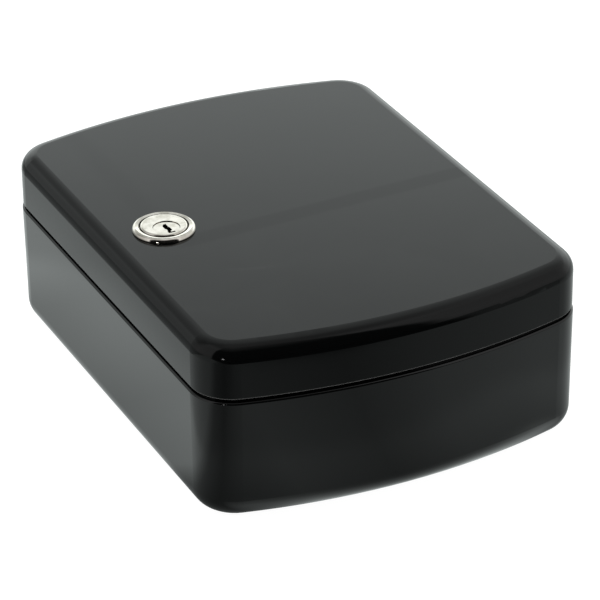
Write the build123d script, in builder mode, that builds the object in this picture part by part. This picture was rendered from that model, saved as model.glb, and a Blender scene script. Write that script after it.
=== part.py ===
from build123d import *
import os
from math import sqrt

# A small wall-mounted key cabinet in deep-drawn sheet steel, lying on its back.
# Millimetres. The origin is the middle of the four wall-screw holes, on the back face.
# +Z points out through the door, +Y is up when the cabinet hangs on a wall,
# -X is the lock side and +X the hinge side.

os.makedirs("parts", exist_ok=True)

# ---- Cabinet shells
width = 150.0  # X, over the straight sides
height = 200.0  # Y, over the crowns of the bowed ends
depth = 70.0  # Z, from the back to the face of the door
sheet = 1.0
bow_sagitta = 11.7  # how far each bowed end stands out over the full width
corner_radius = 16.3
bow_radius = ((width / 2) ** 2 + bow_sagitta**2) / (2 * bow_sagitta)

seam = 48.4  # height of the cabinet's rolled rim
seam_gap = 1.2  # shadow gap between the rim and the closed door
back_radius = 8.3
face_radius = 6.2
edge_round = 0.25
door_rim_round = 0.5

# ---- Draft of the cabinet's walls, and the rebate lip around its mouth
draft_start = 9.0
draft_end = 46.6
draft = 0.35  # how far the mouth stands out beyond the back
rim_round = 0.8
lip_inset = 1.4
lip_top = 56.0

# ---- Wall screws
screw_spacing_x = 90.0
screw_spacing_y = 102.0
screw_hole_radius = 2.5

# ---- Hinge
hinge_length = 120.0
knuckle_count = 9
knuckle_gap = 0.2
hinge_x = 76.2
hinge_z = seam + seam_gap / 2
knuckle_radius = 2.0
pin_radius = 1.0
pin_clearance = 0.05
leaf_sheet = 0.9
leaf_height = 11.0
leaf_face = width / 2 - sheet  # inner face of the side walls, which the leaves are welded to
leaf_edge_radius = 3.0
relief_gap = 0.2
relief_end_gap = 0.5
relief_width = 10.0

# ---- Hook rails
rail_rows = (70.0, 36.0, 2.0, -32.0)
rail_sheet = 1.0
rail_standoff = 4.0  # clear space behind the rail
rail_half_length = 55.0
rail_foot = 7.0
rail_above = 10.0
rail_below = 14.0
hook_count = 5
hook_pitch = 24.0
hook_width = 4.0
hook_reach = 9.0
hook_rise = 6.2
hook_sheet = 1.2
hook_window_gap = 0.3
hook_window_height = 12.0

# ---- Number labels above the hooks
label_width = 108.0
label_height = 4.6
label_sheet = 0.15
label_corner = 0.8
label_offset = 7.2

# ---- Lock
lock_x = -50.4
lock_y = 0.4
plug_offset = 2.4  # the plug sits off the lock's middle, towards -Y
plug_y = lock_y - plug_offset
housing_radius = 9.0
housing_flat = 8.0  # half the distance over the flats
housing_end = 55.2
hole_clearance = 0.1
flange_foot_radius = 11.58
flange_rim = ((11.68, 0.25), (11.53, 0.85), (11.14, 1.38), (10.4, 1.68))  # radius, height on the door
flange_inner = depth + 1.58
flange_foot_tangent = (1, 1.5)
flange_inner_tangent = (-1, -0.15)
cap_seat = depth + 0.3
cap_base_radius = 9.3
cap_base_top = depth + 0.5
cap_radius = 8.7  # leaves a deep groove between cap and flange
cap_top = depth + 2.0
cap_round = 0.7
thread_pitch = 1.0
thread_depth = 0.35

plug_radius = 5.0
plug_face = cap_top - 0.3  # sunk a little in the cap
plug_edge_chamfer = 0.12
plug_clearance = 0.05
plug_head_radius = 5.7
plug_head_low = 68.9
plug_head_high = 70.2
keyway_end = 56.6
keyway_round = 0.12
keyway_outline = (
    (-0.1, 2.95),
    (1.0, 2.95),
    (0.95, 0.6),
    (1.3, -0.3),
    (1.3, -2.3),
    (0.4, -3.0),
    (0.4, -3.45),
    (1.8, -3.45),
    (1.8, -4.3),
    (-0.85, -4.3),
    (-0.85, -3.0),
    (-0.5, -2.1),
    (-0.5, -1.2),
    (-0.9, -0.6),
    (-0.9, 1.6),
)
tail_radius = 4.0
tail_flat = 3.2
tail_end = 53.1

pin_stack_start = 66.2
pin_stack_pitch = 2.7
chamber_radius = 1.25
chamber_floor = 0.2
stack_pin_radius = 1.15
key_pin_top = 4.8
key_pin_bottoms = (0.9, 0.3, 1.3, 0.6)
driver_bottom = 5.05
driver_top = 7.6
spring_wire = 0.14
spring_radius = 0.9
spring_turns = 4
pin_round = 0.2
chamber_plug_low = 9.9
chamber_plug_high = 10.9

nut_radius = 12.0
nut_height = 3.0
nut_corner_reach = 2.2  # beyond the flats
nut_chamfer_height = 1.2
nut_chamfer_inset = 0.3
washer_radius = 12.6
washer_height = 0.8
washer_teeth = 14
washer_notch_depth = 1.3
washer_notch_width = 1.2

# ---- Cam, its quarter-turn stop and the strike
cam_sheet = 1.5
cam_low = 53.0
cam_width = 9.0
cam_reach = 20.0
cam_hub_radius = 6.5
cam_tip_round = 2.0
stop_sheet = 0.6
stop_radius = 5.4
stop_ear_reach = 7.0
stop_ear_angle = 30.0
stop_play = 1.0
lug_inner = 5.7
lug_outer = 7.2
lug_angle = 16.0
lug_height = 0.6
quarter_turn = 90.0
cam_screw_head = 4.5
cam_screw_head_height = 2.0
cam_screw_head_round = 1.2
cam_screw_core = 1.5
cam_screw_end = 55.4
cross_length = 4.4
cross_width = 0.9
cross_depth = 1.2
fit_gap = 0.05

strike_sheet = 1.2
strike_half_width = 10.0
strike_depth = 6.6
strike_bend = 1.6


def plan_outline(inset):
    """The cabinet's plan, drawn in all round by inset: straight sides, bowed ends, round corners."""
    half_width = width / 2 - inset
    crown = height / 2 - inset
    bow_centre = height / 2 - bow_radius
    end = bow_centre + sqrt((bow_radius - inset) ** 2 - half_width**2)
    with BuildSketch() as plan:
        with BuildLine():
            ThreePointArc((-half_width, end), (0, crown), (half_width, end))
            Line((half_width, end), (half_width, -end))
            ThreePointArc((half_width, -end), (0, -crown), (-half_width, -end))
            Line((-half_width, -end), (-half_width, end))
        make_face()
        fillet(plan.vertices(), corner_radius - inset)
    return plan.sketch


def flatted_disc(radius, flat):
    """A round section with two flats parallel to Y."""
    with BuildSketch() as section:
        Circle(radius)
        Rectangle(2 * flat, 2 * radius, mode=Mode.INTERSECT)
    return section.sketch


def save(piece, name):
    """Name a finished piece and write its STEP file."""
    piece.part.label = name
    export_step(piece.part, f"parts/{name}.step")


outer_plan = plan_outline(0.0)
inner_plan = plan_outline(sheet)
mouth_plan = plan_outline(-draft)
lip_plan = plan_outline(lip_inset)
lip_inner_plan = plan_outline(lip_inset + sheet)
lock_hole_plan = flatted_disc(housing_radius + hole_clearance, housing_flat + hole_clearance)
housing_plan = flatted_disc(housing_radius, housing_flat)
tail_plan = flatted_disc(tail_radius, tail_flat)
tail_hole_plan = flatted_disc(tail_radius + fit_gap, tail_flat + fit_gap)

with BuildSketch() as keyway_plan:
    with BuildLine():
        FilletPolyline(*keyway_outline, radius=keyway_round, close=True)
    make_face()

# ---- Cabinet shell: drawn tray with a rolled rim and an upstanding lip
with BuildPart() as tray_hollow:
    with BuildSketch(Plane.XY.offset(sheet)):
        add(inner_plan)
    extrude(amount=seam - 2 * sheet)
    fillet(tray_hollow.faces().sort_by(Axis.Z)[0].edges(), back_radius - sheet)
    with BuildSketch(Plane.XY.offset(seam - 2 * sheet)):
        add(lip_inner_plan)
    extrude(amount=lip_top - seam + 3 * sheet)

with BuildPart() as body_shell:
    with BuildSketch():
        add(outer_plan)
    extrude(amount=seam)
    fillet(body_shell.faces().sort_by(Axis.Z)[0].edges(), back_radius)
    with BuildSketch(Plane.XY.offset(draft_start)):
        add(outer_plan)
    with BuildSketch(Plane.XY.offset(draft_end)):
        add(mouth_plan)
    loft(ruled=True)
    with BuildSketch(Plane.XY.offset(draft_end)):
        add(mouth_plan)
    extrude(amount=seam - draft_end)
    fillet(body_shell.faces().sort_by(Axis.Z)[-1].edges(), rim_round)
    with BuildSketch(Plane.XY.offset(seam - 2 * sheet)):
        add(lip_plan)
    extrude(amount=lip_top - seam + 2 * sheet)
    fillet(body_shell.faces().sort_by(Axis.Z)[-1].edges(), edge_round)
    add(tray_hollow.part, mode=Mode.SUBTRACT)
    # The lip and rim stop short of the hinge.
    with BuildSketch(Plane.XY.offset(hinge_z - knuckle_radius - relief_gap)):
        with Locations((width / 2, 0)):
            Rectangle(relief_width, hinge_length + 2 * relief_end_gap)
    extrude(amount=lip_top, mode=Mode.SUBTRACT)
    with BuildSketch():
        with GridLocations(screw_spacing_x, screw_spacing_y, 2, 2):
            Circle(screw_hole_radius)
    extrude(amount=sheet, mode=Mode.SUBTRACT)
save(body_shell, "body_shell")

# ---- Door shell: a shallow drawn lid whose rim closes over the lip
with BuildPart() as door_hollow:
    with BuildSketch(Plane.XY.offset(seam)):
        add(inner_plan)
    extrude(amount=depth - sheet - seam)
    fillet(door_hollow.faces().sort_by(Axis.Z)[-1].edges(), face_radius - sheet)

with BuildPart() as door_shell:
    with BuildSketch(Plane.XY.offset(seam + seam_gap)):
        add(outer_plan)
    extrude(amount=depth - seam - seam_gap)
    fillet(door_shell.faces().sort_by(Axis.Z)[-1].edges(), face_radius)
    fillet(door_shell.faces().sort_by(Axis.Z)[0].edges(), door_rim_round)
    add(door_hollow.part, mode=Mode.SUBTRACT)
    with BuildSketch(Plane.XY.offset(seam)):
        with Locations((width / 2, 0)):
            Rectangle(relief_width, hinge_length + 2 * relief_end_gap)
    extrude(amount=hinge_z - seam + knuckle_radius + relief_gap, mode=Mode.SUBTRACT)
    with BuildSketch(Plane.XY.offset(depth - 2 * sheet)):
        with Locations((lock_x, lock_y)):
            add(lock_hole_plan)
    extrude(amount=3 * sheet, mode=Mode.SUBTRACT)
save(door_shell, "door_shell")

# ---- Hinge: two leaves with alternate knuckles, welded inside the side walls, on one pin
knuckle_pitch = hinge_length / knuckle_count


def hinge_leaf(side, first):
    """One leaf. side is +1 on the door and -1 on the cabinet; first is its first knuckle."""
    low = hinge_z + side * (knuckle_radius - leaf_sheet)
    tab_middle = hinge_z + side * (knuckle_radius - leaf_sheet / 2)
    with BuildPart() as leaf:
        with BuildSketch(Plane.XZ):
            with Locations((leaf_face - leaf_sheet / 2, low + side * leaf_height / 2)):
                Rectangle(leaf_sheet, leaf_height)
        extrude(amount=hinge_length / 2, both=True)
        corners = leaf.edges().filter_by(Axis.X)
        fillet(corners.sort_by(Axis.Z)[::side][-2:], leaf_edge_radius)
        for index in range(first, knuckle_count, 2):
            start = -hinge_length / 2 + index * knuckle_pitch + knuckle_gap / 2
            with BuildSketch(Plane.XZ.offset(-start)):
                with Locations((hinge_x, hinge_z)):
                    Circle(knuckle_radius)
                with Locations(((leaf_face + hinge_x) / 2, tab_middle)):
                    Rectangle(hinge_x - leaf_face, leaf_sheet)
                with Locations((hinge_x, hinge_z)):
                    Circle(pin_radius + pin_clearance, mode=Mode.SUBTRACT)
            extrude(amount=-(knuckle_pitch - knuckle_gap))
    return leaf


save(hinge_leaf(-1, 0), "body_hinge_leaf")
save(hinge_leaf(1, 1), "door_hinge_leaf")

with BuildPart() as hinge_pin:
    with BuildSketch(Plane.XZ.offset(-hinge_length / 2)):
        with Locations((hinge_x, hinge_z)):
            Circle(pin_radius)
    extrude(amount=hinge_length)
    chamfer(hinge_pin.edges().filter_by(GeomType.CIRCLE), pin_radius / 4)
save(hinge_pin, "hinge_pin")

# ---- Hook rails: folded strips with hooks pierced and bent out of the sheet
rail_back = sheet + rail_standoff
rail_front = rail_back + rail_sheet
hook_front = rail_front + hook_reach


def hook_rail(row):
    """One rail, with its line of hooks at height row."""
    middle = row + (rail_above - rail_below) / 2
    with BuildPart() as rail:
        with BuildSketch(Plane.XZ.offset(-(middle + (rail_above + rail_below) / 2))):
            with BuildLine():
                FilletPolyline(
                    (-rail_half_length - rail_foot, sheet + rail_sheet / 2),
                    (-rail_half_length, sheet + rail_sheet / 2),
                    (-rail_half_length, rail_back + rail_sheet / 2),
                    (rail_half_length, rail_back + rail_sheet / 2),
                    (rail_half_length, sheet + rail_sheet / 2),
                    (rail_half_length + rail_foot, sheet + rail_sheet / 2),
                    radius=rail_sheet,
                )
            trace(line_width=rail_sheet)
        extrude(amount=rail_above + rail_below)
        with BuildSketch(Plane.XY.offset(rail_back)):
            with Locations((0, row - hook_sheet / 2 - hook_window_height / 2)):
                with GridLocations(hook_pitch, 0, hook_count, 1):
                    Rectangle(hook_width + 2 * hook_window_gap, hook_window_height)
        extrude(amount=rail_sheet, mode=Mode.SUBTRACT)
        for index in range(hook_count):
            hook_x = (index - (hook_count - 1) / 2) * hook_pitch
            with BuildSketch(Plane.YZ.offset(hook_x)):
                with BuildLine():
                    FilletPolyline(
                        (row, rail_back),
                        (row, hook_front - hook_sheet / 2),
                        (row + hook_rise, hook_front - hook_sheet / 2),
                        radius=hook_sheet,
                    )
                trace(line_width=hook_sheet)
            extrude(amount=hook_width / 2, both=True)
        upright = rail.edges().filter_by(Axis.Z)
        fillet(upright.filter_by_position(Axis.Z, hook_front - hook_sheet, hook_front), hook_width / 3)
    return rail


for number, row in enumerate(rail_rows, start=1):
    save(hook_rail(row), f"hook_rail_{number}")
    with BuildPart() as number_label:
        with BuildSketch(Plane.XY.offset(rail_front)):
            with Locations((0, row + label_offset)):
                RectangleRounded(label_width, label_height, label_corner)
        extrude(amount=label_sheet)
    save(number_label, f"number_label_{number}")

# ---- Strike: an angle welded inside the lip, which the cam turns under
strike_x = -width / 2 + lip_inset + sheet
with BuildPart() as strike_plate:
    with BuildSketch(Plane.XZ.offset(-(plug_y + strike_half_width))):
        with BuildLine():
            FilletPolyline(
                (strike_x + strike_sheet / 2, seam),
                (strike_x + strike_sheet / 2, lip_top - strike_sheet / 2),
                (strike_x + strike_depth, lip_top - strike_sheet / 2),
                radius=strike_bend,
            )
        trace(line_width=strike_sheet)
    extrude(amount=2 * strike_half_width)
    shelf_corners = strike_plate.edges().filter_by(Axis.Z).group_by(Axis.X)[-1]
    fillet(shelf_corners, strike_depth / 3)
save(strike_plate, "strike_plate")

# ---- Lock housing: flanged barrel with a pin chamber bank on its +Y side
pin_heights = [pin_stack_start - index * pin_stack_pitch for index in range(len(key_pin_bottoms))]
thread_start = depth - sheet
thread_turns = int((thread_start - housing_end) / thread_pitch) - 1
lock_axis = Axis((lock_x, lock_y, 0), (0, 0, 1))
lock_section = Plane((lock_x, lock_y, 0), x_dir=(1, 0, 0), z_dir=(0, -1, 0))


def rear_sector(start, angle, inner, outer):
    """A ring sector around the plug's axis, measured from +X."""
    with BuildSketch() as sector:
        with BuildLine():
            low = CenterArc((0, 0), inner, start, angle)
            high = CenterArc((0, 0), outer, start, angle)
            Line(low @ 0, high @ 0)
            Line(low @ 1, high @ 1)
        make_face()
    return sector.sketch


with BuildPart() as lock_housing:
    with BuildSketch(Plane.XY.offset(housing_end)):
        with Locations((lock_x, lock_y)):
            add(housing_plan)
    extrude(amount=depth - housing_end)
    with BuildSketch(lock_section):
        with BuildLine():
            for turn in range(thread_turns):
                root = thread_start - turn * thread_pitch - thread_pitch / 2
                Polyline(
                    (housing_radius + thread_depth, root - thread_pitch / 2),
                    (housing_radius - thread_depth, root),
                    (housing_radius + thread_depth, root + thread_pitch / 2),
                    close=True,
                )
        make_face()
    revolve(axis=lock_axis, mode=Mode.SUBTRACT)
    with BuildSketch(lock_section):
        with BuildLine():
            Line((0, depth), (flange_foot_radius, depth))
            Spline(
                (flange_foot_radius, depth),
                *[(radius, depth + rise) for radius, rise in flange_rim],
                (cap_base_radius, flange_inner),
                tangents=(flange_foot_tangent, flange_inner_tangent),
            )
            Line((cap_base_radius, flange_inner), (cap_base_radius, cap_seat))
            Line((cap_base_radius, cap_seat), (0, cap_seat))
            Line((0, cap_seat), (0, depth))
        make_face()
    revolve(axis=lock_axis)
    with BuildSketch(Plane.XY.offset(plug_head_low - fit_gap)):
        with Locations((lock_x, plug_y)):
            Circle(plug_head_radius + plug_clearance)
    extrude(amount=cap_seat + fit_gap - plug_head_low, mode=Mode.SUBTRACT)
    for rear_start in (quarter_turn - stop_ear_angle / 2 - stop_play - lug_angle,
                       2 * quarter_turn + stop_ear_angle / 2 + stop_play):
        with BuildSketch(Plane.XY.offset(housing_end)):
            with Locations((lock_x, plug_y)):
                add(rear_sector(rear_start, lug_angle, lug_inner, lug_outer))
        extrude(amount=-lug_height)
    with BuildSketch(Plane.XY.offset(housing_end)):
        with Locations((lock_x, plug_y)):
            Circle(plug_radius + plug_clearance)
    extrude(amount=depth - housing_end, mode=Mode.SUBTRACT)
    with BuildSketch(Plane.XZ.offset(-plug_y)):
        for pin_z in pin_heights:
            with Locations((lock_x, pin_z)):
                Circle(chamber_radius)
    extrude(amount=-(2 * housing_radius), mode=Mode.SUBTRACT)
save(lock_housing, "lock_housing")

with BuildPart() as lock_face_cap:
    with BuildSketch(lock_section):
        with BuildLine():
            Polyline(
                (0, cap_seat),
                (cap_base_radius, cap_seat),
                (cap_base_radius, cap_base_top),
                (cap_radius, cap_base_top),
                (cap_radius, cap_top),
                (0, cap_top),
                close=True,
            )
        make_face()
    revolve(axis=lock_axis)
    fillet(lock_face_cap.edges().filter_by(GeomType.CIRCLE).sort_by(Axis.Z)[-1], cap_round)
    with BuildSketch(Plane.XY.offset(cap_seat)):
        with Locations((lock_x, plug_y)):
            Circle(plug_radius + plug_clearance)
    extrude(amount=cap_top - cap_seat, mode=Mode.SUBTRACT)
save(lock_face_cap, "lock_face_cap")

# ---- Plug: turns in the housing, with a paracentric keyway down its length
with BuildPart() as lock_plug:
    with BuildSketch(Plane.XY.offset(housing_end - fit_gap)):
        with Locations((lock_x, plug_y)):
            Circle(plug_radius)
    extrude(amount=plug_face - housing_end + fit_gap)
    chamfer(lock_plug.faces().sort_by(Axis.Z)[-1].edges(), plug_edge_chamfer)
    with BuildSketch(Plane.XY.offset(plug_head_low)):
        with Locations((lock_x, plug_y)):
            Circle(plug_head_radius)
    extrude(amount=plug_head_high - plug_head_low)
    with BuildSketch(Plane.XY.offset(tail_end)):
        with Locations((lock_x, plug_y)):
            add(tail_plan)
    extrude(amount=housing_end - tail_end)
    with BuildSketch(Plane.XY.offset(keyway_end)):
        with Locations((lock_x, plug_y)):
            add(keyway_plan.sketch)
    extrude(amount=plug_face - keyway_end, mode=Mode.SUBTRACT)
    with BuildSketch(Plane.XZ.offset(-(plug_y + chamber_floor))):
        for pin_z in pin_heights:
            with Locations((lock_x, pin_z)):
                Circle(chamber_radius)
    extrude(amount=-plug_radius, mode=Mode.SUBTRACT)
    with BuildSketch(Plane.XY.offset(tail_end)):
        with Locations((lock_x, plug_y)):
            Circle(cam_screw_core)
    extrude(amount=cam_screw_end + fit_gap - tail_end, mode=Mode.SUBTRACT)
save(lock_plug, "lock_plug")


def stacked_pins(spans, radius, round_over):
    """One turned pin on each chamber's axis, between its two distances from the plug's axis."""
    with BuildPart() as pins:
        for pin_z, (low, high) in zip(pin_heights, spans):
            with BuildSketch(Plane.XZ.offset(-(plug_y + low))):
                with Locations((lock_x, pin_z)):
                    Circle(radius)
            extrude(amount=-(high - low))
        if round_over:
            chamfer(pins.edges().filter_by(GeomType.CIRCLE), round_over)
    return pins


key_pin_spans = [(bottom, key_pin_top) for bottom in key_pin_bottoms]
save(stacked_pins(key_pin_spans, stack_pin_radius, pin_round), "key_pins")
driver_spans = [(driver_bottom, driver_top)] * len(pin_heights)
save(stacked_pins(driver_spans, stack_pin_radius, pin_round), "driver_pins")
chamber_plug_spans = [(chamber_plug_low, chamber_plug_high)] * len(pin_heights)
save(stacked_pins(chamber_plug_spans, chamber_radius, 0.0), "chamber_plugs")

spring_low = driver_top + spring_wire
spring_high = chamber_plug_low - spring_wire
with BuildPart() as pin_springs:
    for pin_z in pin_heights:
        with BuildLine():
            coil = Helix(
                pitch=(spring_high - spring_low) / spring_turns,
                height=spring_high - spring_low,
                radius=spring_radius,
                center=(lock_x, plug_y + spring_low, pin_z),
                direction=(0, 1, 0),
            )
        with BuildSketch(coil ^ 0):
            Circle(spring_wire)
        sweep(path=coil, is_frenet=True)
save(pin_springs, "pin_springs")

# ---- Nut and toothed washer that clamp the lock in the door
with BuildPart() as lock_washer:
    with BuildSketch(Plane.XY.offset(depth - sheet - washer_height)):
        with Locations((lock_x, lock_y)):
            Circle(washer_radius)
            Circle(housing_radius + hole_clearance, mode=Mode.SUBTRACT)
            with PolarLocations(washer_radius, washer_teeth):
                Rectangle(2 * washer_notch_depth, washer_notch_width, mode=Mode.SUBTRACT)
    extrude(amount=washer_height)
save(lock_washer, "lock_washer")

nut_low = depth - sheet - washer_height - nut_height
with BuildPart() as lock_nut:
    with BuildSketch(Plane.XY.offset(nut_low)):
        with Locations((lock_x, lock_y)):
            RegularPolygon(nut_radius, 6, major_radius=False)
    extrude(amount=nut_height)
    with BuildSketch(lock_section):
        with BuildLine():
            Polyline(
                (0, nut_low),
                (nut_radius - nut_chamfer_inset, nut_low),
                (nut_radius + nut_corner_reach, nut_low + nut_chamfer_height),
                (nut_radius + nut_corner_reach, nut_low + nut_height),
                (0, nut_low + nut_height),
                close=True,
            )
        make_face()
    revolve(axis=lock_axis, mode=Mode.INTERSECT)
    with BuildSketch(Plane.XY.offset(nut_low)):
        with Locations((lock_x, lock_y)):
            Circle(housing_radius + fit_gap)
    extrude(amount=nut_height, mode=Mode.SUBTRACT)
save(lock_nut, "lock_nut")

# ---- Stop washer, cam and cam screw on the plug's tail
cam_high = cam_low + cam_sheet
stop_ear = rear_sector(quarter_turn - stop_ear_angle / 2, stop_ear_angle, tail_radius, stop_ear_reach)
with BuildPart() as stop_washer:
    with BuildSketch(Plane.XY.offset(cam_high)):
        with Locations((lock_x, plug_y)):
            Circle(stop_radius)
            add(stop_ear)
            add(tail_hole_plan, mode=Mode.SUBTRACT)
    extrude(amount=stop_sheet)
save(stop_washer, "stop_washer")

with BuildPart() as lock_cam:
    with BuildSketch(Plane.XY.offset(cam_low)):
        with Locations((lock_x, plug_y)):
            Circle(cam_hub_radius)
        with Locations((lock_x, plug_y + cam_reach / 2)):
            Rectangle(cam_width, cam_reach)
    extrude(amount=cam_sheet)
    fillet(lock_cam.edges().filter_by(Axis.Z).group_by(Axis.Y)[-1], cam_tip_round)
    with BuildSketch(Plane.XY.offset(cam_low)):
        with Locations((lock_x, plug_y)):
            add(tail_hole_plan)
    extrude(amount=cam_sheet, mode=Mode.SUBTRACT)
save(lock_cam, "lock_cam")

with BuildPart() as cam_screw:
    with BuildSketch(Plane.XY.offset(cam_low)):
        with Locations((lock_x, plug_y)):
            Circle(cam_screw_head)
    extrude(amount=-cam_screw_head_height)
    fillet(cam_screw.faces().sort_by(Axis.Z)[0].edges(), cam_screw_head_round)
    with BuildSketch(Plane.XY.offset(cam_low - cam_screw_head_height)):
        with Locations((lock_x, plug_y)):
            Rectangle(cross_length, cross_width)
            Rectangle(cross_width, cross_length)
    extrude(amount=cross_depth, mode=Mode.SUBTRACT)
    with BuildSketch(Plane.XY.offset(cam_low)):
        with Locations((lock_x, plug_y)):
            Circle(cam_screw_core)
    extrude(amount=cam_screw_end - cam_low)
save(cam_screw, "cam_screw")
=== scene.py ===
import math

import bmesh
import bpy
from mathutils import Matrix, Vector


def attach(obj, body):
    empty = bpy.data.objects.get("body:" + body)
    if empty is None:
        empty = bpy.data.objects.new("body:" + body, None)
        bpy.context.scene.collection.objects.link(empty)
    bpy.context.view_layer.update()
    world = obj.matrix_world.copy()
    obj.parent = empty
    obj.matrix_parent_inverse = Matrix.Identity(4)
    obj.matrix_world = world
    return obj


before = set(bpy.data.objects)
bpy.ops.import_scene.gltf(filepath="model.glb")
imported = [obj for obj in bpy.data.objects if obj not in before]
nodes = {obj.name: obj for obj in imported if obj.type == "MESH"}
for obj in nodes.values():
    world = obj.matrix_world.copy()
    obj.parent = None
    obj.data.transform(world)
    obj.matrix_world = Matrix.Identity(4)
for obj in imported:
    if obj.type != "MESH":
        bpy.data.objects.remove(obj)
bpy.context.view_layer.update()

MM = 0.001
WHITE = (1.0, 1.0, 1.0, 1.0)

# ---- Camera: where it stands, how it is turned, and its lens
camera_place = Vector((-0.4676, -0.9764, 0.6230))
camera_heading = math.radians(25.79)  # from +Y towards +X
camera_tilt = math.radians(28.79)  # below the horizon
camera_roll = math.radians(-0.62)
camera_lens = 196.87
camera_sensor = 36.0

# ---- Studio: a white tent with an opening at the front. Each table gives the brightness that a reflection
# sees, by compass heading (degrees from +Y towards +X) or by height (the sine of the angle over the horizon).
back_wall = ((-180, 0.0), (-60, 0.0), (-30, 0.55), (-16, 0.95), (10, 1.6), (50, 1.6), (80, 0.5), (110, 0.0))
back_height = ((-0.1, 0.9), (0.405, 1.0), (0.421, 0.90), (0.455, 0.663), (0.489, 0.466), (0.53, 0.36),
               (0.60, 0.33), (0.93, 0.30), (1.0, 0.0))
side_wall = ((-180, 0.0), (-106, 0.0), (-104, 0.80), (-62, 0.78), (-44, 0.24), (0, 0.24), (60, 0.4),
             (90, 0.75), (149, 0.92), (153, 0.0), (180, 0.0))
side_height = ((-0.12, 0.8), (0.03, 0.85), (0.25, 1.0), (0.84, 0.95), (0.97, 0.08))
overhead = ((-0.1, 0.008), (0.75, 0.01), (0.85, 0.12), (0.945, 0.30), (1.0, 0.62))
tent_tint = (0.93, 1.0, 0.985, 1)
small_lamp_heading = math.radians(-133.0)
small_lamp_height = math.radians(3.0)
small_lamp_edge = (math.cos(math.radians(3.4)), math.cos(math.radians(2.2)))  # it fades out between these angles
small_lamp_light = 16.0
top_light_place = (-0.2, 0.3, 1.6)
top_light_size = 1.6
top_light_power = 26.0

# ---- Floor: pale all over for the camera. In a reflection it glows with painted light and shade that depend on the place:
# by compass heading, and by the distance from the foot, a rectangle around the middle of the object, with a painted
# shadow near the foot. Four values are a distance or place where a change starts, one where it ends, and the
# factors before and after it.
floor_half = 3.0
floor_drop = 0.2 * MM
floor_ring = ((-180, 0.37), (-170, 0.46), (-160, 0.57), (-150, 0.42), (-138, 0.26), (-127, 0.42), (-119, 0.98),
              (-100, 0.96), (-88, 0.93), (-62, 1.04), (-46, 1.06), (-39, 1.10), (30, 1.1), (90, 0.85), (125, 0.66),
              (141, 0.70), (154, 0.65), (163, 0.60), (172, 0.47), (180, 0.38))
floor_sides = ((-180, 0.0), (-112, 0.0), (-104, 1.0), (110, 1.0), (135, 0.6), (149, 0.5), (154, 0.0), (180, 0.0))
floor_front_end = (-215 * MM, -203 * MM)  # the floor is dark beyond this, in the tent's opening
foot_half_x = 58 * MM
foot_half_y = 80 * MM
foot_shade = (10 * MM, 55 * MM, 0.66, 1.0)
front_foot_light = (14 * MM, 28 * MM, 2.4, 0.8)
front_foot_reach = (-98 * MM, -86 * MM, 1.0, 0.0)
middle_shade = (48 * MM, 68 * MM, 1.0, 0.86)
left_dim = (-121 * MM, -108 * MM, 0.89, 1.0)
left_end = (-146 * MM, -132 * MM, 0.45, 1.0)
left_end_reach = (10 * MM, 45 * MM, 1.0, 0.0)
paper_dark = (0.18, 0.18, 0.18, 1)
paper_light = (0.21, 0.21, 0.21, 1)
paper_glow = 0.98

# ---- Black paint
body_paint_ior = 1.42
door_paint_ior = 1.29
paint_dark = (0.0010, 0.0012, 0.0012, 1)
paint_light = (0.0020, 0.0022, 0.0022, 1)
paint_dust = (0.06, 0.06, 0.058, 1)
paint_edge_wear = (0.035, 0.035, 0.034, 1)
# lighter colour on the door's lower edge: thin paint and a painted highlight
paint_thin_and_highlight = (0.13, 0.13, 0.128, 1)
paint_dust_share = 0.25
paint_wear_share = 0.5
paint_wear_reach = 0.22 * MM
paint_wear_roughness = 0.2
paint_roughness = (0.07, 0.12)
paint_peel = 0.004
paint_mottle = 0.012
paint_sway = 0.25
door_lower_edge = (49.85 * MM, 50.2 * MM)
scuff_middle = (-20.0 * MM, 5.5 * MM, 70 * MM)
scuff_radius = 49.5 * MM
scuff_line = (0.3 * MM, 1.1 * MM)
scuff_start = (-46 * MM, -40 * MM)
scuff_end = (-30 * MM, -20 * MM)
scuff_side = (-30 * MM, -36 * MM)
scuff_roughness = 0.10
crease_slope = 0.038
crease_across = (-14.4 * MM, -6.2 * MM)
crease_start = (-56 * MM, -44 * MM)
crease_top = (66 * MM, 69 * MM)
crease_height = 0.15

# ---- Nickel, bare metal and print
nickel_dark = (0.53, 0.50, 0.44, 1)
nickel_light = (0.76, 0.72, 0.66, 1)
# the colour of the painted shade in the lock's grooves and recesses
nickel_groove_shade = (0.035, 0.032, 0.026, 1)
nickel_groove_shade_share = 0.92
nickel_groove_shade_roughness = 0.4
nickel_groove = 0.9 * MM
nickel_roughness = (0.05, 0.11)
nickel_sway = 0.35
nickel_grain = 0.01
metal_edge = (0.85, 0.84, 0.82, 1)
metal_wear_share = 0.5
metal_wear_reach = 0.15 * MM
metal_wear_gloss = 0.08
print_roughness_spread = 0.06

# ---- Hook rails and hinge leaves, as in the CAD model, for what is added to them (millimetres)
rail_rows = (70.0, 36.0, 2.0, -32.0)
hook_pitch = 24.0
hook_count = 5
label_offset = 7.2
label_top = 6.15
number_size = 4.34
print_lift = 0.012
rail_foot_middle = 58.5
rail_foot_top = 2.0
rail_weld_steps = (-8.0, 4.0)
leaf_inner = 73.1
leaf_weld_steps = (-48.0, -24.0, 0.0, 24.0, 48.0)
body_leaf_weld_z = 41.5
door_leaf_weld_z = 56.5
weld_profile = ((0.0, 0.03), (0.7, 0.04), (1.15, 0.13), (1.45, 0.15), (1.75, 0.09), (2.0, 0.0))
weld_sides = 40


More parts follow.
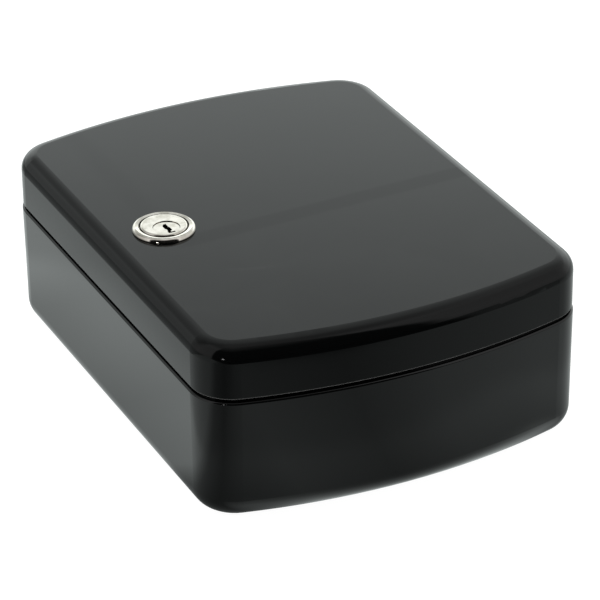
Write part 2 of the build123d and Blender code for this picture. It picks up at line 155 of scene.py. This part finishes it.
def look(place, heading, tilt, roll):
    """The matrix of a camera at place that looks along heading and tilt."""
    forward = Vector((math.cos(tilt) * math.sin(heading), math.cos(tilt) * math.cos(heading), -math.sin(tilt)))
    right = Vector((math.cos(heading), -math.sin(heading), 0.0))
    up = right.cross(forward)
    rolled_right = right * math.cos(roll) + up * math.sin(roll)
    rolled_up = up * math.cos(roll) - right * math.sin(roll)
    turn = Matrix((rolled_right, rolled_up, -forward)).transposed()
    return Matrix.Translation(place) @ turn.to_4x4()


def make_camera():
    data = bpy.data.cameras.new("camera")
    data.sensor_width = camera_sensor
    data.lens = camera_lens
    data.clip_start = 0.05
    data.clip_end = 50.0
    camera = bpy.data.objects.new("camera", data)
    bpy.context.scene.collection.objects.link(camera)
    camera.matrix_world = look(camera_place, camera_heading, camera_tilt, camera_roll)
    bpy.context.scene.camera = camera


class Nodes:
    """A short way to write node trees."""

    def __init__(self, tree):
        self.tree = tree

    def add(self, kind, inputs=None, **settings):
        node = self.tree.nodes.new(kind)
        for key, value in settings.items():
            setattr(node, key, value)
        for key, value in (inputs or {}).items():
            self.put(node.inputs[key], value)
        return node

    def put(self, socket, value):
        if isinstance(value, bpy.types.NodeSocket):
            self.tree.links.new(value, socket)
        elif isinstance(value, bpy.types.Node):
            self.tree.links.new(value.outputs[0], socket)
        else:
            socket.default_value = value

    def math(self, operation, a, b=0.0):
        return self.add("ShaderNodeMath", operation=operation, inputs={0: a, 1: b}).outputs[0]

    def product(self, first, *others):
        for other in others:
            first = self.math("MULTIPLY", first, other)
        return first

    def total(self, first, *others):
        for other in others:
            first = self.math("ADD", first, other)
        return first

    def vector(self, operation, a, b=(0.0, 0.0, 0.0)):
        node = self.add("ShaderNodeVectorMath", operation=operation)
        self.put(node.inputs[0], a)
        self.put(node.inputs["Scale"] if operation == "SCALE" else node.inputs[1], b)
        return node.outputs["Value"] if operation in ("DOT_PRODUCT", "LENGTH") else node.outputs["Vector"]

    def split(self, vector):
        return self.add("ShaderNodeSeparateXYZ", inputs={0: vector}).outputs

    def ramp(self, value, low, high, out_low=0.0, out_high=1.0, kind="SMOOTHSTEP"):
        node = self.add("ShaderNodeMapRange", interpolation_type=kind)
        for index, item in enumerate((value, low, high, out_low, out_high)):
            self.put(node.inputs[index], item)
        return node.outputs[0]

    def curve(self, value, stops):
        """A brightness that runs through stops, each (value, brightness)."""
        low = stops[0][0]
        high = stops[-1][0]
        top = max(brightness for _, brightness in stops)
        node = self.add("ShaderNodeValToRGB")
        steps = node.color_ramp.elements
        for _ in stops[2:]:
            steps.new(0.5)
        for step, (place, brightness) in zip(steps, stops):
            step.position = (place - low) / (high - low)
            shade = brightness / top
            step.color = (shade, shade, shade, 1.0)
        self.put(node.inputs[0], self.ramp(value, low, high, kind="LINEAR"))
        return self.product(node.outputs[0], top)

    def noise(self, where, scale, detail=2.0, roughness=0.5, distortion=0.0):
        settings = {"Vector": where, "Scale": scale, "Detail": detail, "Roughness": roughness,
                    "Distortion": distortion}
        return self.add("ShaderNodeTexNoise", inputs=settings).outputs["Fac"]

    def mix(self, amount, a, b):
        return self.add("ShaderNodeMix", data_type="RGBA", inputs={0: amount, 6: a, 7: b}).outputs[2]

    def bump(self, shader, height, strength, distance):
        inputs = {"Strength": strength, "Distance": distance, "Height": height}
        self.put(shader.inputs["Normal"], self.add("ShaderNodeBump", inputs=inputs))


def heading_of(n, x, y):
    """Compass heading in degrees from +Y towards +X."""
    return n.product(n.math("ARCTAN2", x, y), math.degrees(1.0))


def make_world():
    """The tent in reflections, and plain white behind the object."""
    world = bpy.data.worlds.new("studio")
    bpy.context.scene.world = world
    world.use_nodes = True
    tree = world.node_tree
    tree.nodes.clear()
    n = Nodes(tree)
    direction = n.add("ShaderNodeTexCoord").outputs["Generated"]
    x, y, z = n.split(direction)
    heading = heading_of(n, x, y)
    back = n.product(n.curve(heading, back_wall), n.curve(z, back_height))
    side = n.product(n.curve(heading, side_wall), n.curve(z, side_height))
    lamp = (math.cos(small_lamp_height) * math.sin(small_lamp_heading),
            math.cos(small_lamp_height) * math.cos(small_lamp_heading),
            math.sin(small_lamp_height))
    spot = n.ramp(n.vector("DOT_PRODUCT", direction, lamp), *small_lamp_edge, 0.0, small_lamp_light)
    plain = n.total(side, spot, n.curve(z, overhead))
    light = n.vector("ADD", n.vector("SCALE", tent_tint[:3], back), n.vector("SCALE", WHITE[:3], plain))
    seen = n.add("ShaderNodeLightPath").outputs["Is Camera Ray"]
    background = n.add("ShaderNodeBackground", inputs={"Color": n.mix(seen, light, WHITE)})
    output = n.add("ShaderNodeOutputWorld")
    tree.links.new(background.outputs[0], output.inputs[0])


def make_top_light():
    """A soft lamp high over the object that the gloss doesn't mirror."""
    data = bpy.data.lights.new("top_light", "AREA")
    data.shape = "DISK"
    data.size = top_light_size
    data.energy = top_light_power
    lamp = bpy.data.objects.new("top_light", data)
    bpy.context.scene.collection.objects.link(lamp)
    lamp.location = top_light_place
    lamp.rotation_mode = "QUATERNION"
    lamp.rotation_quaternion = Vector(top_light_place).to_track_quat("Z", "Y")
    lamp.visible_glossy = False


def make_floor():
    corners = [(-floor_half, -floor_half, 0), (floor_half, -floor_half, 0),
               (floor_half, floor_half, 0), (-floor_half, floor_half, 0)]
    mesh = bpy.data.meshes.new("floor")
    mesh.from_pydata(corners, [], [(0, 1, 2, 3)])
    floor = bpy.data.objects.new("floor", mesh)
    bpy.context.scene.collection.objects.link(floor)
    floor.location.z = -floor_drop
    material = bpy.data.materials.new("floor_white")
    material.use_nodes = True
    tree = material.node_tree
    tree.nodes.clear()
    n = Nodes(tree)
    where = n.add("ShaderNodeTexCoord").outputs["Object"]
    x, y, _ = n.split(where)
    past_x = n.math("MAXIMUM", n.math("SUBTRACT", n.math("ABSOLUTE", x), foot_half_x), 0.0)
    past_y = n.math("MAXIMUM", n.math("SUBTRACT", n.math("ABSOLUTE", y), foot_half_y), 0.0)
    away = n.math("SQRT", n.total(n.product(past_x, past_x), n.product(past_y, past_y)))
    # Painted light and shade in reflections: a painted shadow near the foot, painted light near the front foot,
    # painted shade further out and on the left.
    front_foot = n.product(n.ramp(away, *front_foot_light), n.ramp(y, *front_foot_reach))
    foot = n.math("MAXIMUM", n.ramp(away, *foot_shade), front_foot)
    left = n.product(n.ramp(x, *left_dim), n.math("MAXIMUM", n.ramp(x, *left_end), n.ramp(y, *left_end_reach)))
    heading = heading_of(n, x, y)
    inside_tent = n.math("MAXIMUM", n.ramp(y, *floor_front_end), n.curve(heading, floor_sides))
    painted_floor_shade = n.product(foot, n.ramp(away, *middle_shade), left, inside_tent)
    painted_reflected_light = n.product(n.curve(heading, floor_ring), painted_floor_shade)
    glow = n.add("ShaderNodeEmission", inputs={"Color": tent_tint, "Strength": painted_reflected_light})
    grain = n.noise(where, scale=220.0, detail=3.0)
    paper = n.add("ShaderNodeBsdfDiffuse", inputs={"Color": n.mix(grain, paper_dark, paper_light)})
    white = n.add("ShaderNodeEmission", inputs={"Color": WHITE, "Strength": paper_glow})
    lit = n.add("ShaderNodeAddShader", inputs={0: paper, 1: white})
    in_gloss = n.add("ShaderNodeLightPath").outputs["Is Glossy Ray"]
    chosen = n.add("ShaderNodeMixShader", inputs={0: in_gloss, 1: lit, 2: glow})
    output = n.add("ShaderNodeOutputMaterial")
    tree.links.new(chosen.outputs[0], output.inputs["Surface"])
    floor.data.materials.append(material)


def new_material(name):
    material = bpy.data.materials.new(name)
    material.use_nodes = True
    tree = material.node_tree
    tree.nodes.clear()
    n = Nodes(tree)
    shader = n.add("ShaderNodeBsdfPrincipled")
    output = n.add("ShaderNodeOutputMaterial")
    tree.links.new(shader.outputs[0], output.inputs["Surface"])
    where = n.add("ShaderNodeTexCoord").outputs["Object"]
    return material, n, shader, where


def edge_mask(n, radius, noise):
    """1 on sharp outer edges, broken up by a noise."""
    bevel = n.add("ShaderNodeBevel", samples=4, inputs={"Radius": radius})
    straight = n.add("ShaderNodeNewGeometry").outputs["Normal"]
    turn = n.math("SUBTRACT", 1.0, n.vector("DOT_PRODUCT", bevel.outputs[0], straight))
    return n.product(n.ramp(turn, 0.05, 0.22), noise)


def black_paint(name, ior, on_door):
    """Smooth black enamel on sheet steel: faint orange peel, dust, wear on sharp edges."""
    material, n, shader, where = new_material(name)
    x, y, z = n.split(where)
    cloud = n.noise(where, scale=14.0, detail=4.0, roughness=0.6)
    base = n.mix(cloud, paint_dark, paint_light)
    dust = n.ramp(n.noise(where, scale=1400.0, detail=2.0, roughness=0.7), 0.74, 0.80)
    base = n.mix(n.product(dust, paint_dust_share), base, paint_dust)
    rub = n.ramp(n.noise(where, scale=160.0, detail=4.0, roughness=0.7), 0.48, 0.66)
    worn = edge_mask(n, paint_wear_reach, rub)
    base = n.mix(n.product(worn, paint_wear_share), base, paint_edge_wear)
    if on_door:
        # The paint is thin along the door's rolled lower edge, and the lighter colour there is also a painted
        # highlight along that edge.
        thin_and_highlight = n.product(n.ramp(z, *door_lower_edge, 1.0, 0.0), n.ramp(rub, 0.0, 1.0, 0.6, 1.0))
        base = n.mix(thin_and_highlight, base, paint_thin_and_highlight)
    n.put(shader.inputs["Base Color"], base)
    smear = n.noise(where, scale=26.0, detail=5.0, roughness=0.65, distortion=0.8)
    rough = n.total(n.ramp(smear, 0.3, 0.7, *paint_roughness), n.product(worn, paint_wear_roughness))
    if on_door:
        # A faint curved scuff lies in front of the lock.
        reach = n.vector("LENGTH", n.vector("SUBTRACT", where, scuff_middle))
        line = n.ramp(n.math("ABSOLUTE", n.math("SUBTRACT", reach, scuff_radius)), *scuff_line, 1.0, 0.0)
        stretch = n.product(n.ramp(x, *scuff_start), n.ramp(x, *scuff_end, 1.0, 0.0))
        scuff = n.product(line, stretch, n.ramp(y, *scuff_side))
        rough = n.total(rough, n.product(scuff, scuff_roughness))
    n.put(shader.inputs["Roughness"], rough)
    peel = n.noise(where, scale=700.0, detail=3.0, roughness=0.55)
    mottle = n.noise(where, scale=80.0, detail=3.0, roughness=0.6)
    sway = n.noise(where, scale=7.0, detail=1.0, roughness=0.4)
    height = n.total(n.product(peel, paint_peel), n.product(sway, paint_sway), n.product(mottle, paint_mottle))
    if on_door:
        # A crease in the sheet that is barely felt runs from the lock to the hinge side.
        across = n.math("SUBTRACT", y, n.product(x, crease_slope))
        crease = n.product(n.ramp(across, *crease_across, 0.0, crease_height, "LINEAR"), n.ramp(x, *crease_start))
        height = n.total(height, n.product(crease, n.ramp(z, *crease_top)))
    n.bump(shader, height, strength=0.3, distance=1 * MM)
    shader.inputs["IOR"].default_value = ior
    return material


def nickel_plate():
    """Polished nickel with a fine grain and slight waves, with painted shade darkening it in the grooves."""
    material, n, shader, where = new_material("nickel")
    cloud = n.noise(where, scale=240.0, detail=4.0, roughness=0.6)
    base = n.mix(n.ramp(cloud, 0.35, 0.65), nickel_dark, nickel_light)
    # Painted shade: the colour darkens where ambient occlusion finds grooves and recesses.
    shade = n.add("ShaderNodeAmbientOcclusion", samples=8, inputs={"Distance": nickel_groove}).outputs["AO"]
    groove_shade = n.ramp(shade, 0.25, 0.75, 1.0, 0.0)
    n.put(shader.inputs["Base Color"], n.mix(n.product(groove_shade, nickel_groove_shade_share), base, nickel_groove_shade))
    shader.inputs["Metallic"].default_value = 1.0
    smear = n.noise(where, scale=600.0, detail=5.0, roughness=0.65, distortion=0.6)
    rough = n.total(n.ramp(smear, 0.3, 0.7, *nickel_roughness), n.product(groove_shade, nickel_groove_shade_roughness))
    n.put(shader.inputs["Roughness"], rough)
    sway = n.noise(where, scale=130.0, detail=1.0, roughness=0.4)
    fine = n.noise(where, scale=3600.0, detail=3.0, roughness=0.6)
    height = n.total(n.product(sway, nickel_sway), n.product(fine, nickel_grain))
    n.bump(shader, height, strength=0.5, distance=0.1 * MM)
    return material


def metal(name, low, high, rough_low, rough_high, grain):
    """A plated or bare metal: cloudy colour, smeared gloss, bright edges and a fine grain."""
    material, n, shader, where = new_material(name)
    cloud = n.noise(where, scale=grain * 4, detail=4.0, roughness=0.6)
    base = n.mix(cloud, (*low, 1), (*high, 1))
    rub = n.ramp(n.noise(where, scale=grain * 8, detail=3.0, roughness=0.6), 0.4, 0.6)
    worn = edge_mask(n, metal_wear_reach, rub)
    n.put(shader.inputs["Base Color"], n.mix(n.product(worn, metal_wear_share), base, metal_edge))
    shader.inputs["Metallic"].default_value = 1.0
    smear = n.noise(where, scale=grain * 10, detail=5.0, roughness=0.65, distortion=0.6)
    rough = n.ramp(smear, 0.3, 0.7, rough_low, rough_high)
    n.put(shader.inputs["Roughness"], n.math("SUBTRACT", rough, n.product(worn, metal_wear_gloss)))
    fine = n.noise(where, scale=grain * 60, detail=3.0, roughness=0.6)
    n.bump(shader, fine, strength=0.2, distance=0.1 * MM)
    return material


def printed(name, low, high, rough):
    """Label film or printing ink: a faint mottle and a paper-like grain."""
    material, n, shader, where = new_material(name)
    cloud = n.noise(where, scale=120.0, detail=4.0, roughness=0.6)
    n.put(shader.inputs["Base Color"], n.mix(cloud, (*low, 1), (*high, 1)))
    smear = n.noise(where, scale=900.0, detail=3.0)
    roughness = n.ramp(smear, 0.3, 0.7, rough - print_roughness_spread, rough + print_roughness_spread)
    n.put(shader.inputs["Roughness"], roughness)
    grain = n.noise(where, scale=5200.0, detail=2.0)
    n.bump(shader, grain, strength=0.15, distance=0.05 * MM)
    return material


def dress(names, material):
    """Put material on the CAD nodes called names."""
    for name in names:
        data = nodes[name].data
        data.materials.clear()
        data.materials.append(material)
        for polygon in data.polygons:
            polygon.use_smooth = True


def add_piece(name, made, material, body):
    """A piece of the visual model from the bmesh made, which is freed."""
    mesh = bpy.data.meshes.new(name)
    made.to_mesh(mesh)
    made.free()
    mesh.materials.append(material)
    piece = bpy.data.objects.new(name, mesh)
    bpy.context.scene.collection.objects.link(piece)
    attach(piece, body)


def number_print(rail, row, ink):
    """The hook numbers of one rail, printed on its label."""
    joined = bmesh.new()
    for index in range(hook_count):
        data = bpy.data.curves.new("digits", "FONT")
        data.body = str((rail - 1) * hook_count + index + 1)
        data.size = number_size * MM
        data.align_x = "CENTER"
        data.align_y = "CENTER"
        data.extrude = print_lift * MM
        digits = bpy.data.objects.new("digits", data)
        bpy.context.scene.collection.objects.link(digits)
        bpy.context.view_layer.update()
        mesh = bpy.data.meshes.new_from_object(digits.evaluated_get(bpy.context.evaluated_depsgraph_get()))
        hook_x = (index - (hook_count - 1) / 2) * hook_pitch
        place = Vector((hook_x, row + label_offset, label_top + print_lift)) * MM
        mesh.transform(Matrix.Translation(place))
        joined.from_mesh(mesh)
        bpy.data.meshes.remove(mesh)
        bpy.data.objects.remove(digits)
        bpy.data.curves.remove(data)
    add_piece(f"hook_numbers_{rail}", joined, ink, "cabinet")


def weld_marks(name, places, facing, material, body):
    """Spot-weld dimples under the paint: a low ring around a dished middle, at places in millimetres."""
    marks = bmesh.new()
    turn = Vector((0, 0, 1)).rotation_difference(Vector(facing)).to_matrix()
    for place in places:
        rows = []
        for radius, lift in weld_profile:
            row = []
            for step in range(weld_sides if radius else 1):
                angle = 2 * math.pi * step / weld_sides
                spot = Vector((radius * math.cos(angle), radius * math.sin(angle), lift))
                row.append(marks.verts.new((turn @ spot + Vector(place)) * MM))
            rows.append(row)
        for step in range(weld_sides):
            after = (step + 1) % weld_sides
            marks.faces.new((rows[0][0], rows[1][step], rows[1][after]))
            for inner, outer in zip(rows[1:], rows[2:]):
                marks.faces.new((inner[step], outer[step], outer[after], inner[after]))
    for face in marks.faces:
        face.smooth = True
    add_piece(name, marks, material, body)


make_camera()
make_world()
make_floor()
make_top_light()

rails = [f"hook_rail_{number}" for number in range(1, len(rail_rows) + 1)]
labels = [f"number_label_{number}" for number in range(1, len(rail_rows) + 1)]
body_paint = black_paint("body_paint", body_paint_ior, on_door=False)
dress(["body_shell", "body_hinge_leaf", "door_hinge_leaf", "strike_plate", *rails], body_paint)
dress(["door_shell"], black_paint("door_paint", door_paint_ior, on_door=True))
dress(["lock_housing", "lock_face_cap", "lock_plug"], nickel_plate())
dress(["lock_nut", "lock_washer", "lock_cam", "stop_washer", "cam_screw", "hinge_pin"],
      metal("zinc", (0.50, 0.52, 0.54), (0.62, 0.63, 0.64), 0.25, 0.4, 60.0))
dress(["pin_springs"], metal("spring_wire", (0.42, 0.41, 0.40), (0.55, 0.54, 0.52), 0.2, 0.32, 90.0))
dress(["key_pins", "driver_pins", "chamber_plugs"],
      metal("brass", (0.62, 0.44, 0.16), (0.72, 0.52, 0.22), 0.18, 0.3, 60.0))
dress(labels, printed("label_film", (0.76, 0.76, 0.74), (0.82, 0.82, 0.80), 0.5))

ink = printed("printing_ink", (0.012, 0.012, 0.013), (0.02, 0.02, 0.021), 0.55)
for rail, row in enumerate(rail_rows, start=1):
    number_print(rail, row, ink)
    feet = [(side * rail_foot_middle, row + step, rail_foot_top) for side in (-1, 1) for step in rail_weld_steps]
    weld_marks(f"rail_welds_{rail}", feet, (0, 0, 1), body_paint, "cabinet")
for leaf, body, weld_z in (("body", "cabinet", body_leaf_weld_z), ("door", "door", door_leaf_weld_z)):
    places = [(leaf_inner, y, weld_z) for y in leaf_weld_steps]
    weld_marks(f"{leaf}_leaf_welds", places, (-1, 0, 0), body_paint, body)

bpy.context.scene.view_settings.view_transform = "Standard"
